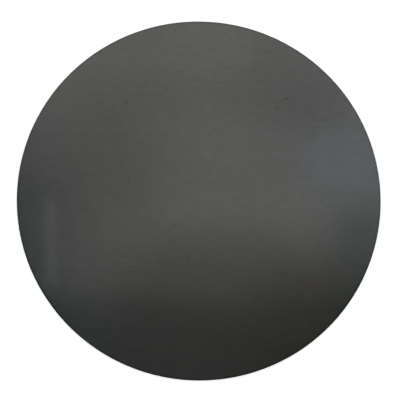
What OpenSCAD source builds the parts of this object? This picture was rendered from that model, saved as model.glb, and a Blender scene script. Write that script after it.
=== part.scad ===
// Circle template: a plain round plate that is laid on the work and traced or followed round its rim.
// Millimetres, +Z up. The origin is the centre of the underside.

/* [Disc] */
// Diameter of the disc, which is the circle that the template gives
disc_d = 300; // [50:1:600]
// Thickness of the sheet that the disc is cut from
sheet_t = 2; // [1:0.1:6]

/* [Edge] */
// Radius of the rounding that deburring leaves where each face meets the rim
edge_r = 0.2; // [0.05:0.05:0.4]

/* [Hidden] */
$fn = 180;
disc_r = disc_d / 2;
// Height of the straight wall of the rim, between its two roundings
rim_h = sheet_t - 2 * edge_r;

// Half of the disc's section, on the +X side of its axis
module disc_section() {
    // The web, which reaches from the axis to where the roundings begin
    square([disc_r - edge_r, sheet_t]);
    // The straight wall of the rim
    translate([0, edge_r])
        square([disc_r, rim_h]);
    // The rounding at the underside and the one at the upper face
    for (z = [edge_r, sheet_t - edge_r])
        translate([disc_r - edge_r, z])
            circle(r = edge_r);
}

module template_disc() {
    color("dimgray")
        rotate_extrude()
            disc_section();
}

template_disc();
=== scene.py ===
"""Circle template: the looks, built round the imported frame.

A round plate of dark rolled steel sheet lies on a pale floor. Plain cards over it and grey walls round
it show only in its reflections. Metres, +Z up, with the origin at the centre of the plate's underside,
+X along the rolling grain and +Y across it, as in the CAD frame.
"""

import math
import random

import bmesh
import bpy
from mathutils import Matrix, Vector
from mathutils.geometry import delaunay_2d_cdt


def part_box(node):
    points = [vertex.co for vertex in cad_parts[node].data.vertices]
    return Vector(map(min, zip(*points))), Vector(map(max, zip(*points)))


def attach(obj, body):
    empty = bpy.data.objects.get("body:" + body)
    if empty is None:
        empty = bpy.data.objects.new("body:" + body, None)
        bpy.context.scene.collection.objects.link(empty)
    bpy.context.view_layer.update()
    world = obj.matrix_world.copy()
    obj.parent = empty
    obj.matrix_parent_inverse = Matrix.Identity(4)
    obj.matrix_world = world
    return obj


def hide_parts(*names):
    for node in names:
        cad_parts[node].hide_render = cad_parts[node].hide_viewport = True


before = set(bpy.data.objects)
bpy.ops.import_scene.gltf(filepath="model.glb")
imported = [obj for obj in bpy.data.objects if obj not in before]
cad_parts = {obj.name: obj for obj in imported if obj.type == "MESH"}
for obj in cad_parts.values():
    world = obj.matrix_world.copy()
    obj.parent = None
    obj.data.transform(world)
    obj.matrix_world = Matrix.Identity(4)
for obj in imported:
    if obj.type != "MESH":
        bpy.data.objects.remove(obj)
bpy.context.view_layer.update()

MM = 0.001
PLATE_LOW, PLATE_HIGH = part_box("template_disc")
PLATE_R = (PLATE_HIGH.x - PLATE_LOW.x) / 2
PLATE_T = PLATE_HIGH.z - PLATE_LOW.z


# ---------------------------------------------------------------- plate: mesh

EDGE_ROUND = 0.2 * MM  # rounding between each face and the rim
FACE_R = PLATE_R - EDGE_ROUND
SEGMENTS = 512  # round the rim
ROUND_STEPS = 6  # across each rounding
ROLL_WIDTH, ROLL_DROP = 1.6 * MM, 0.10 * MM  # how a face rolls over towards its rounding, as on a cut blank
ROLL_STEPS = 6  # across the roll-over
SUPPORT = 0.1 * MM  # how close a support loop lies to a rounding, so that it shades as a rounding
RING_GAP_FIRST, RING_GAP_LAST, RING_GROWTH = 2 * MM, 14 * MM, 1.4  # point spacing on a face, rim to middle
RING_LEAST = 6  # the fewest points in a ring
PIT_RINGS, PIT_SIDES = (0.3, 0.6, 0.85, 1.0, 1.25), 18  # rings of points that carry a pit, in pit radii
PIT_CLEAR = 1.5  # no other point of the face lies within this many pit radii of a pit
PIT_OVAL, PIT_LOBES = 0.18, 0.10  # how far a pit's outline strays from a circle, in pit radii
PIT_LAYER = "pit"  # the mesh layer that holds how deep in a pit a point lies, from 0 to 1
WELD = 0.001 * MM  # points closer than this are one
INSIDE_BORDER = 1  # the triangulation's mode that drops what lies outside the border
FLAT_SLACK = 1e-9  # how closely it tells points apart

# Pits in the upper face: x, y, radius and depth in millimetres
UPPER_PITS = [
    (-62.5, 75.0, 2.0, 0.12),
    (73.5, 80.0, 1.8, 0.10),
    (65.5, 71.5, 1.6, 0.09),
    (52.0, -90.0, 1.6, 0.10),
    (-67.5, 99.5, 1.1, 0.06),
    (7.5, 47.5, 1.0, 0.05),
    (-59.0, 7.5, 1.0, 0.05),
    (-21.5, -28.0, 1.1, 0.06),
    (-56.5, -56.0, 1.0, 0.05),
    (-9.5, -56.0, 1.0, 0.05),
]
UNDERSIDE_PITS = 7
UNDERSIDE_SEED = 5  # for the places and sizes of the underside's pits
UNDERSIDE_FIRST_OUTLINE = 50  # the seed of the first underside pit's outline
UNDERSIDE_PIT_FAR = 0.1, 0.9  # least and greatest distance from the middle, in plate radii
UNDERSIDE_PIT_R = 0.7, 1.3  # least and greatest radius in millimetres
UNDERSIDE_PIT_SLOPE = 1 / 16  # depth over radius

# The bake map: two discs side by side, and the rim below them in four strips
MAP_NAME = "OFBake"
MAP_DISC_R = 0.24
MAP_SCALE = MAP_DISC_R / PLATE_R
UPPER_AT, UNDERSIDE_AT = (0.25, 0.75), (0.75, 0.75)
STRIPS = 4
STRIP_LEFT, STRIP_FOOT, STRIP_GAP = 0.02, 0.06, 0.1
STRIP_STRETCH = 12  # a strip is drawn this many times as high as true to scale


def ring(radius, count, turn=0.0):
    """Points at equal steps round a circle about the origin, turned by this share of a step."""
    step = 2 * math.pi / count
    return [Vector((radius * math.cos((i + turn) * step), radius * math.sin((i + turn) * step)))
            for i in range(count)]


def face_points():
    """Points over a face: its border, a support loop, the roll-over, then rings that grow coarser inwards."""
    points = ring(FACE_R, SEGMENTS) + ring(FACE_R - SUPPORT, SEGMENTS)
    for step in range(1, ROLL_STEPS + 2):
        points += ring(FACE_R - ROLL_WIDTH * step / ROLL_STEPS, SEGMENTS)
    gap = RING_GAP_FIRST
    radius = FACE_R - ROLL_WIDTH - gap
    turn = 0.5
    while radius > gap / 2:
        points += ring(radius, max(RING_LEAST, round(2 * math.pi * radius / gap)), turn)
        gap = min(gap * RING_GROWTH, RING_GAP_LAST)
        radius -= gap
        turn = 0.5 - turn
    return points + [Vector((0, 0))]


def roll_over(point):
    """How far the face lies below its plane at this point of its margin."""
    into = max(0.0, point.length - (FACE_R - ROLL_WIDTH)) / ROLL_WIDTH
    return ROLL_DROP * into ** 2


class Pit:
    """A shallow dish in a face with an uneven outline."""

    def __init__(self, x, y, radius, depth, seed):
        draw = random.Random(seed)
        self.at = Vector((x, y)) * MM
        self.radius = radius * MM
        self.depth = depth * MM
        self.phases = draw.uniform(0, 2 * math.pi), draw.uniform(0, 2 * math.pi)

    def reach(self, angle):
        """How far the pit's edge lies from its middle in this direction."""
        oval = PIT_OVAL * math.sin(2 * angle + self.phases[0])
        lobes = PIT_LOBES * math.sin(3 * angle + self.phases[1])
        return self.radius * (1 + oval + lobes)

    def points(self):
        """The middle and the rings that carry the dish."""
        found = [self.at.copy()]
        for share in PIT_RINGS:
            for i in range(PIT_SIDES):
                angle = 2 * math.pi * i / PIT_SIDES
                found.append(self.at + Vector((math.cos(angle), math.sin(angle))) * self.reach(angle) * share)
        return found

    def share_at(self, point):
        """1 at the pit's middle, falling smoothly to 0 at its edge and outside it."""
        off = point - self.at
        inside = off.length / self.reach(math.atan2(off.y, off.x))
        return max(0.0, 1 - inside ** 2) ** 2


def upper_pits():
    """The pits of UPPER_PITS, each with an outline of its own."""
    return [Pit(*size, seed) for seed, size in enumerate(UPPER_PITS)]


def underside_pits():
    """Small pits at random places."""
    draw = random.Random(UNDERSIDE_SEED)
    pits = []
    for seed in range(UNDERSIDE_PITS):
        angle = draw.uniform(0, 2 * math.pi)
        far = draw.uniform(*UNDERSIDE_PIT_FAR) * PLATE_R / MM
        radius = draw.uniform(*UNDERSIDE_PIT_R)
        pits.append(Pit(far * math.cos(angle), far * math.sin(angle), radius, radius * UNDERSIDE_PIT_SLOPE,
                        UNDERSIDE_FIRST_OUTLINE + seed))
    return pits


def pitted_face(pits):
    """The triangles of a flat face: points in the plane, and triples of indices, counterclockwise."""
    points = [p for p in face_points()
              if all((p - pit.at).length > pit.radius * PIT_CLEAR for pit in pits)]
    for pit in pits:
        points += pit.points()
    border = list(range(SEGMENTS))
    flat, _, triangles, *_ = delaunay_2d_cdt(points, [], [border], INSIDE_BORDER, FLAT_SLACK)
    return flat, triangles


def add_face(bm, pits, z, up, map_at, layers):
    """Adds a face at this height with its pits. up is 1 for the upper face and -1 for the underside."""
    uv_layer, pit_layer = layers
    flat, triangles = pitted_face(pits)
    verts = []
    for p in flat:
        share, depth = max((pit.share_at(p), pit.depth) for pit in pits)
        vert = bm.verts.new((p.x, p.y, z - up * (share * depth + roll_over(p))))
        vert[pit_layer] = share
        verts.append(vert)
    for corners in triangles:
        order = corners if up > 0 else corners[::-1]
        face = bm.faces.new([verts[i] for i in order])
        for loop in face.loops:
            x, y, _ = loop.vert.co
            loop[uv_layer].uv = (map_at[0] + up * x * MAP_SCALE, map_at[1] + y * MAP_SCALE)


def rim_profile():
    """The rim's section as (radius, z, distance along it), from the upper face to the underside."""
    top, fall = PLATE_T - ROLL_DROP, EDGE_ROUND - ROLL_DROP
    upper = []
    for step in range(ROUND_STEPS + 1):
        angle = math.pi / 2 * step / ROUND_STEPS
        upper.append((FACE_R + EDGE_ROUND * math.sin(angle), top - fall * (1 - math.cos(angle))))
    upper.append((PLATE_R, upper[-1][1] - SUPPORT))
    lower = [(r, PLATE_T - z) for r, z in reversed(upper)]
    section, along = [], 0.0
    for r, z in upper + lower:
        if section:
            along += math.dist(section[-1][:2], (r, z))
        section.append((r, z, along))
    return section


def add_rim(bm, uv_layer):
    """Adds the roundings and the wall between them, as quads that wear the second material."""
    section = rim_profile()
    rim_height = section[-1][2]
    rows = []
    for r, z, _ in section:
        rows.append([bm.verts.new((p.x, p.y, z)) for p in ring(r, SEGMENTS)])
    per_strip = SEGMENTS // STRIPS
    strip_length = 2 * math.pi * PLATE_R * MAP_SCALE / STRIPS
    for row in range(len(section) - 1):
        for i in range(SEGMENTS):
            j = (i + 1) % SEGMENTS
            face = bm.faces.new((rows[row][j], rows[row][i], rows[row + 1][i], rows[row + 1][j]))
            face.material_index = 1
            strip, step = divmod(i, per_strip)
            foot = STRIP_FOOT + strip * STRIP_GAP
            for loop, (side, level) in zip(face.loops, ((1, row), (0, row), (0, row + 1), (1, row + 1))):
                u = STRIP_LEFT + (step + side) / per_strip * strip_length
                v = foot + (rim_height - section[level][2]) * MAP_SCALE * STRIP_STRETCH
                loop[uv_layer].uv = (u, v)


def build_plate():
    """The whole plate as one closed mesh, in place of the CAD disc."""
    bm = bmesh.new()
    uv_layer = bm.loops.layers.uv.new(MAP_NAME)
    pit_layer = bm.verts.layers.float.new(PIT_LAYER)
    add_face(bm, upper_pits(), PLATE_T, 1, UPPER_AT, (uv_layer, pit_layer))
    add_face(bm, underside_pits(), 0.0, -1, UNDERSIDE_AT, (uv_layer, pit_layer))
    add_rim(bm, uv_layer)
    bmesh.ops.remove_doubles(bm, verts=bm.verts, dist=WELD)
    for face in bm.faces:
        face.smooth = True
    mesh = bpy.data.meshes.new("template_plate")
    bm.to_mesh(mesh)
    bm.free()
    plate = bpy.data.objects.new("template_plate", mesh)
    bpy.context.scene.collection.objects.link(plate)
    return plate


# ---------------------------------------------------------------- materials

STEEL = (0.0775, 0.0775, 0.074)  # linear
RIM_SHADE_START, RIM_SHADE_END = 2.0 * MM, 0.9 * MM  # painted shade: how far in from the rim a face starts and ends to darken
RIM_SHADE_TONE = 0.72  # the colour's factor at the rim, where the painted shade is darkest
PIT_TONE = 0.75  # and in the middle of a pit
NOISE_LOW, NOISE_HIGH = 0.3, 0.7  # most of a noise lies between these
HAIRLINE_START, HAIRLINE_FULL = 0.70, 0.78  # the noise at which a hairline starts and is full
FACE_ROUGH = 0.28, 0.29  # least and greatest roughness of the faces
EDGE_ROUGH = 0.42, 0.58  # and of the rim
COAT_WEIGHT, COAT_ROUGH = 0.77, 0.06  # the thin clear finish on the faces
GRAIN_DEPTH = 0.002 * MM  # of the faces' relief
STRIATION_DEPTH = 0.02 * MM  # of the rim's relief


class Tree:
    """The node tree of a material or world, with short calls to add nodes and sums."""

    def __init__(self, owner):
        owner.use_nodes = True
        self.owner = owner
        self.nodes = owner.node_tree.nodes
        self.links = owner.node_tree.links

    @classmethod
    def material(cls, name):
        return cls(bpy.data.materials.new(name))

    @property
    def shader(self):
        """The shader that a new material starts with."""
        return self.nodes["Principled BSDF"]

    def add(self, kind, **inputs):
        """A node of this kind. Each input is a value or the socket that feeds it."""
        node = self.nodes.new("ShaderNode" + kind)
        for name, value in inputs.items():
            self.feed(node.inputs[name.replace("_", " ")], value)
        return node

    def feed(self, socket, value):
        """Gives the socket this value, or links it to the socket that feeds it."""
        if isinstance(value, bpy.types.NodeSocket):
            self.links.new(value, socket)
        else:
            socket.default_value = value

    def math(self, operation, a, b=0.0):
        """One operation on one or two values."""
        node = self.nodes.new("ShaderNodeMath")
        node.operation = operation
        self.feed(node.inputs[0], a)
        self.feed(node.inputs[1], b)
        return node.outputs[0]

    def chain(self, operation, first, *others):
        """The operation, such as a sum or a product, over all the values in turn."""
        for other in others:
            first = self.math(operation, first, other)
        return first

    def place(self):
        """Where a point lies in its object, in metres."""
        return self.add("TexCoord").outputs["Object"]

    def noise(self, place, across, along, upright=1.0, detail=2.0, roughness=0.5):
        """Noise from 0 to 1 whose blotches are about this large along Y, X and Z, in metres."""
        mapping = self.add("Mapping", Vector=place, Scale=(1 / along, 1 / across, 1 / upright))
        return self.add("TexNoise", Vector=mapping.outputs[0], Scale=1.0, Detail=detail,
                        Roughness=roughness).outputs["Fac"]

    def spread(self, value, low, high, to_low=0.0, to_high=1.0, ease="LINEAR"):
        """The value's stretch from low to high, brought to the stretch from to_low to to_high."""
        node = self.add("MapRange", Value=value, From_Min=low, From_Max=high, To_Min=to_low, To_Max=to_high)
        node.interpolation_type = ease
        return node.outputs[0]

    def swing(self, noise, low, high):
        """The noise brought to the stretch from low to high."""
        return self.spread(noise, NOISE_LOW, NOISE_HIGH, low, high)

    def length(self, a, b):
        """The length of the flat vector (a, b)."""
        return self.math("SQRT", self.chain("ADD", self.math("MULTIPLY", a, a), self.math("MULTIPLY", b, b)))

    def tinted(self, colour, gain):
        """The colour times a factor that varies over the surface."""
        node = self.nodes.new("ShaderNodeMix")
        node.data_type = "RGBA"
        node.blend_type = "MULTIPLY"
        node.inputs["Factor"].default_value = 1.0
        node.inputs["A"].default_value = (*colour, 1.0)
        self.links.new(gain, node.inputs["B"])
        return node.outputs["Result"]

    def bump(self, depth, height):
        """The normal of a surface with this relief, whose height of 1 stands for this depth in metres."""
        return self.add("Bump", Strength=1.0, Distance=depth, Height=height).outputs[0]

    def surface(self, shader):
        """Puts this shader in place of the one that a new material starts with."""
        self.nodes.remove(self.shader)
        self.links.new(shader.outputs[0], self.nodes["Material Output"].inputs["Surface"])


def rolled_steel():
    """The faces: dark rolled sheet with a grain along X, cloudy patches, hairline scratches, dark pits and
    painted shade at the rim.
    """
    tree = Tree.material("rolled_steel")
    inputs = tree.shader.inputs
    place = tree.place()
    cloud = tree.noise(place, across=45 * MM, along=75 * MM, detail=3.0)
    mottle = tree.noise(place, across=5 * MM, along=9 * MM, detail=3.0)
    streak = tree.noise(place, across=2.2 * MM, along=14 * MM, detail=3.0, roughness=0.6)
    grain = tree.noise(place, across=0.5 * MM, along=22 * MM, detail=2.0, roughness=0.6)
    line = tree.noise(place, across=0.7 * MM, along=160 * MM, detail=0.0)
    hairline = tree.spread(line, HAIRLINE_START, HAIRLINE_FULL)
    layer = tree.add("Attribute")
    layer.attribute_name = PIT_LAYER
    pit = layer.outputs["Fac"]
    at = tree.add("SeparateXYZ", Vector=place)
    far_out = tree.length(at.outputs["X"], at.outputs["Y"])

    tone = tree.chain("ADD", tree.swing(cloud, 0.95, 1.05), tree.swing(mottle, -0.06, 0.06),
                      tree.swing(streak, -0.015, 0.015), tree.swing(grain, -0.03, 0.03),
                      tree.math("MULTIPLY", hairline, 0.1))
    # painted shade: the face's colour darkens over the last millimetres before the rim
    margin = tree.spread(far_out, PLATE_R - RIM_SHADE_START, PLATE_R - RIM_SHADE_END, 1.0, RIM_SHADE_TONE)
    dark = tree.spread(pit, 0.0, 0.5, 1.0, PIT_TONE)
    tree.feed(inputs["Base Color"], tree.tinted(STEEL, tree.chain("MULTIPLY", tone, margin, dark)))
    inputs["Metallic"].default_value = 1.0

    rough = tree.chain("ADD", tree.swing(streak, *FACE_ROUGH), tree.swing(cloud, -0.004, 0.004),
                       tree.swing(grain, -0.003, 0.003), tree.math("MULTIPLY", pit, 0.3))
    tree.feed(inputs["Roughness"], rough)
    inputs["Anisotropic"].default_value = 0.4
    inputs["Anisotropic Rotation"].default_value = 0.25
    tangent = tree.add("Tangent")
    tangent.direction_type = "UV_MAP"
    tangent.uv_map = MAP_NAME
    tree.feed(inputs["Tangent"], tangent.outputs[0])
    inputs["Coat Weight"].default_value = COAT_WEIGHT
    inputs["Coat Roughness"].default_value = COAT_ROUGH

    height = tree.chain("ADD", tree.math("MULTIPLY", grain, 0.6), streak,
                        tree.math("MULTIPLY", hairline, -0.5))
    tree.feed(inputs["Normal"], tree.bump(GRAIN_DEPTH, height))
    return tree.owner


def cut_edge():
    """The rim: a darker cut edge with fine striations from face to face."""
    tree = Tree.material("cut_edge")
    inputs = tree.shader.inputs
    place = tree.place()
    striation = tree.noise(place, across=0.5 * MM, along=0.5 * MM, upright=6 * MM, detail=3.0)
    patch = tree.noise(place, across=9 * MM, along=9 * MM, upright=9 * MM, detail=3.0)
    tone = tree.chain("ADD", tree.swing(striation, 0.3, 0.55), tree.swing(patch, -0.1, 0.1))
    tree.feed(inputs["Base Color"], tree.tinted(STEEL, tone))
    inputs["Metallic"].default_value = 1.0
    tree.feed(inputs["Roughness"], tree.swing(striation, *EDGE_ROUGH))
    tree.feed(inputs["Normal"], tree.bump(STRIATION_DEPTH, striation))
    return tree.owner


plate = build_plate()
plate.data.materials.append(rolled_steel())
plate.data.materials.append(cut_edge())
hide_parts("template_disc")
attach(plate, "root")


# ---------------------------------------------------------------- camera

VIEW_TILT = math.radians(10.1)  # how far the view leans off the plate's axis
VIEW_TURN = math.radians(7.4)  # the lean's direction, from -Y towards -X
VIEW_DISTANCE = 1.4 * 2 * PLATE_R
AIM = Vector((-0.15 * MM, -7.55 * MM, PLATE_T))  # just below the plate's middle, which centres its outline
LENS, SENSOR = 45.8, 36.0  # focal length and sensor width in millimetres


def add_camera():
    """The camera over the plate, turned about its view so that +Y points up in the picture."""
    lean = Vector((-math.sin(VIEW_TURN), -math.cos(VIEW_TURN), 0))
    back = lean * math.sin(VIEW_TILT) + Vector((0, 0, math.cos(VIEW_TILT)))
    data = bpy.data.cameras.new("camera")
    data.sensor_width = SENSOR
    data.lens = LENS
    camera = bpy.data.objects.new("camera", data)
    bpy.context.scene.collection.objects.link(camera)
    camera.location = Vector((0, 0, PLATE_T)) + back * VIEW_DISTANCE
    ahead = (AIM - camera.location).normalized()
    right = ahead.cross(Vector((0, 1, 0))).normalized()
    up = right.cross(ahead)
    camera.rotation_euler = Matrix((right, up, -ahead)).transposed().to_euler()
    bpy.context.scene.camera = camera


add_camera()


# ---------------------------------------------------------------- stage and light

WHITE = (1, 1, 1, 1)
WORLD_LIGHT, WORLD_SEEN = 0.8, 1.0  # the world's strength as light, and where it is seen or mirrored
FLOOR_LIGHT, FLOOR_SEEN = 0.8, 1.25  # the same for the floor's colour
FLOOR_REACH = 20.0  # half the floor's width
WALL_R, WALL_SIDES = 4.0, 64
WALL_FULL, WALL_TOP = 0.2, 3.6  # the walls fade out from the first height to the second
WALL_SWAY = 0.9  # how far these heights stray either way
WALL_DARK, WALL_PALE = 0.2, 0.4  # how brightly the walls glow
WALL_PATCH, WALL_PATCH_HEIGHT = 1.6, 6.0  # about how wide and how high their patches are
HIDDEN_FROM = ("camera", "diffuse", "transmission", "volume_scatter", "shadow")  # every ray but glossy


def seen_or_not(tree, not_seen, seen):
    """One value on rays from the camera, in reflections and through glass, and the other on the rest."""
    path = tree.add("LightPath").outputs
    share = tree.chain("MAXIMUM", path["Is Camera Ray"], path["Is Glossy Ray"], path["Is Transmission Ray"])
    return tree.spread(share, 0.0, 1.0, not_seen, seen)


def add_world():
    """White all round, and a little dimmer as light on what isn't a mirror."""
    world = bpy.data.worlds.new("studio")
    bpy.context.scene.world = world
    tree = Tree(world)
    background = tree.nodes["Background"].inputs
    background["Color"].default_value = WHITE
    tree.feed(background["Strength"], seen_or_not(tree, WORLD_LIGHT, WORLD_SEEN))


def stage_piece(name, points, faces, material):
    """A mesh of the stage, which isn't part of the object."""
    mesh = bpy.data.meshes.new(name)
    mesh.from_pydata(points, [], faces)
    mesh.materials.append(material)
    piece = bpy.data.objects.new(name, mesh)
    bpy.context.scene.collection.objects.link(piece)
    return piece


def level_sheet(name, half_x, half_y, material):
    """A level rectangle of the stage about the origin."""
    corners = [(-half_x, -half_y, 0), (half_x, -half_y, 0), (half_x, half_y, 0), (-half_x, half_y, 0)]
    return stage_piece(name, corners, [(0, 1, 2, 3)], material)


def add_floor():
    """The pale floor under the plate, which takes its shadow."""
    tree = Tree.material("pale_floor")
    tree.surface(tree.add("BsdfDiffuse", Color=seen_or_not(tree, FLOOR_LIGHT, FLOOR_SEEN)))
    level_sheet("floor", FLOOR_REACH, FLOOR_REACH, tree.owner)


def add_lamp(name, at, size, power, colour=(1, 1, 1)):
    """A soft lamp over the plate, for the floor and its shadow. The metal mirrors the cards instead."""
    data = bpy.data.lights.new(name, "AREA")
    data.shape = "RECTANGLE"
    data.size, data.size_y = size
    data.energy = power
    data.color = colour
    lamp = bpy.data.objects.new(name, data)
    lamp.location = at
    lamp.rotation_euler = (-Vector(at)).to_track_quat("-Z", "Y").to_euler()
    lamp.visible_camera = False
    lamp.visible_glossy = False
    bpy.context.scene.collection.objects.link(lamp)


def glow(tree, colour, share):
    """Makes the material glow in this colour where the share is 1, and stay clear where it is 0."""
    bright = tree.add("Emission", Color=colour)
    clear = tree.add("BsdfTransparent")
    mixed = tree.add("MixShader")
    for socket, source in zip(mixed.inputs, (share, clear.outputs[0], bright.outputs[0])):
        tree.feed(socket, source)
    tree.surface(mixed)


def show_in_reflections_only(piece):
    for ray in HIDDEN_FROM:
        setattr(piece, "visible_" + ray, False)


def add_walls():
    """Uneven grey walls all round that fade out upwards, for a soft sheen on the metal at low angles."""
    tree = Tree.material("walls")
    place = tree.place()
    cloud = tree.noise(place, across=WALL_PATCH, along=WALL_PATCH, upright=WALL_PATCH_HEIGHT, detail=0.0)
    level = tree.add("SeparateXYZ", Vector=place).outputs["Z"]
    height = tree.math("ADD", level, tree.swing(cloud, -WALL_SWAY, WALL_SWAY))
    share = tree.spread(height, WALL_TOP, WALL_FULL, ease="SMOOTHSTEP")
    glow(tree, tree.swing(cloud, WALL_DARK, WALL_PALE), share)
    points = [(p.x, p.y, z) for z in (0, WALL_TOP + WALL_SWAY) for p in ring(WALL_R, WALL_SIDES)]
    faces = []
    for i in range(WALL_SIDES):
        j = (i + 1) % WALL_SIDES
        faces.append((i, j, WALL_SIDES + j, WALL_SIDES + i))
    show_in_reflections_only(stage_piece("walls", points, faces, tree.owner))


def add_card(name, at, half, corner, fade, colour, opacity=1.0, turn=0.0):
    """A level card over the plate, of this half size, with round corners, a soft edge and a turn about Z."""
    tree = Tree.material(name)
    place = tree.add("SeparateXYZ", Vector=tree.place())
    beyond = []
    for axis in range(2):
        past = tree.math("SUBTRACT", tree.math("ABSOLUTE", place.outputs[axis]), half[axis] - corner)
        beyond.append(tree.math("MAXIMUM", past, 0.0))
    share = tree.spread(tree.length(*beyond), corner + fade, corner - fade, 0.0, opacity, ease="SMOOTHSTEP")
    glow(tree, (*colour, 1), share)
    card = level_sheet(name, half[0] + fade, half[1] + fade, tree.owner)
    card.location = at
    card.rotation_euler.z = turn
    show_in_reflections_only(card)


def add_cards():
    """What stands round the plate, as plain cards: darker near it and at its sides, paler beyond it."""
    add_card("near_flag", at=(0, -0.72, 1.0), half=(1.2, 0.6), corner=0.2, fade=0.05,
             colour=(0.02, 0.07, 0.09), opacity=0.78)
    add_card("left_flag", at=(-0.94, 0.04, 1.1), half=(0.55, 0.27), corner=0.13, fade=0.35,
             colour=(0.07, 0.12, 0.12))
    add_card("right_flag", at=(0.94, -0.25, 1.12), half=(0.73, 0.19), corner=0.19, fade=0.16,
             colour=(0.25, 0.13, 0.03))
    add_card("far_flag", at=(0.1, 0.52, 1.15), half=(0.44, 0.08), corner=0.08, fade=0.05,
             colour=(0.1, 0.1, 0.05), opacity=0.2)
    add_card("far_left_flag", at=(-0.2, 0.23, 1.07), half=(0.11, 0.17), corner=0.1, fade=0.12,
             colour=(0.1, 0.08, 0.03), opacity=0.38)
    add_card("far_right_flag", at=(0.34, 0.46, 1.05), half=(0.12, 0.12), corner=0.1, fade=0.15,
             colour=(0.07, 0.15, 0.2), opacity=0.28)
    add_card("far_light", at=(0.04, 0.8, 1.25), half=(0.15, 0.2), corner=0.1, fade=0.06,
             colour=(1.35, 1.35, 1.32), opacity=0.35)
    add_card("soft_light", at=(0.03, 0.11, 1.08), half=(0.32, 0.06), corner=0.06, fade=0.1,
             colour=(1.35, 1.35, 1.32), opacity=0.85)
    add_card("window", at=(1.2, 0.26, 0.98), half=(0.87, 0.08), corner=0.05, fade=0.03,
             colour=(1.1, 1.2, 1.35))
    add_card("camera_shade", at=(0.05, -0.25, 0.42), half=(0.22, 0.27), corner=0.2, fade=0.07,
             colour=(0.15, 0.14, 0.11), opacity=0.5)
    add_card("side_shade", at=(0.3, -0.045, 0.408), half=(0.07, 0.08), corner=0.02, fade=0.045,
             colour=(0.02, 0.14, 0.16), opacity=0.54)
    add_card("pale_strip", at=(-0.23, -0.01, 0.41), half=(0.009, 0.065), corner=0.005, fade=0.007,
             colour=(0.91, 0.94, 0.93), turn=math.radians(4.4))


add_world()
add_floor()
add_lamp("key", at=(-0.4, 0.5, 1.5), size=(0.9, 0.6), power=3.0)
add_lamp("side", at=(0.7, -0.3, 1.3), size=(0.6, 0.5), power=2.0, colour=(0.85, 0.94, 1.0))
add_walls()
add_cards()

bpy.context.scene.view_settings.view_transform = "Standard"
